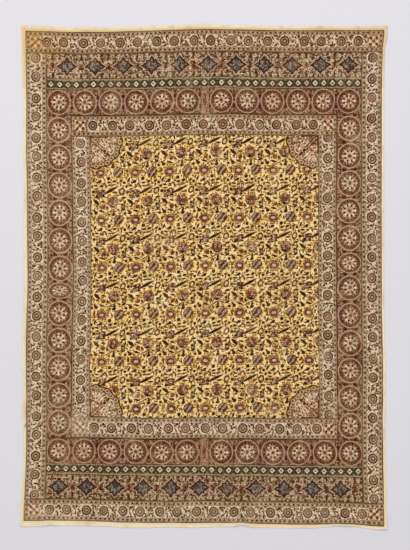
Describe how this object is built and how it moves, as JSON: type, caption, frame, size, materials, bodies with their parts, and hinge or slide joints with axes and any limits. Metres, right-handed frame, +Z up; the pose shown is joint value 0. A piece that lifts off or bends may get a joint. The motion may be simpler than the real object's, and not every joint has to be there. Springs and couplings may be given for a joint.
{
  "type": "block-printed cotton panel",
  "caption": "Flat hemmed cotton panel, block printed with a flowered field, corner fans and nested rosette, lozenge and diamond borders, lying face up.",
  "frame": {"origin": "on the surface that the panel lies on, under the middle of its bounding rectangle", "axes": "+Z up out of the printed face, +Y along the panel's length towards its top edge, +X across it to the right"},
  "size_m": [1.35, 1.857, 0.0079],
  "materials": {
    "printed_cotton": "matt plain-weave cotton with printed and dyed pattern"
  },
  "bodies": {
    "root": {"panel": "printed_cotton"}
  },
  "joints": []
}
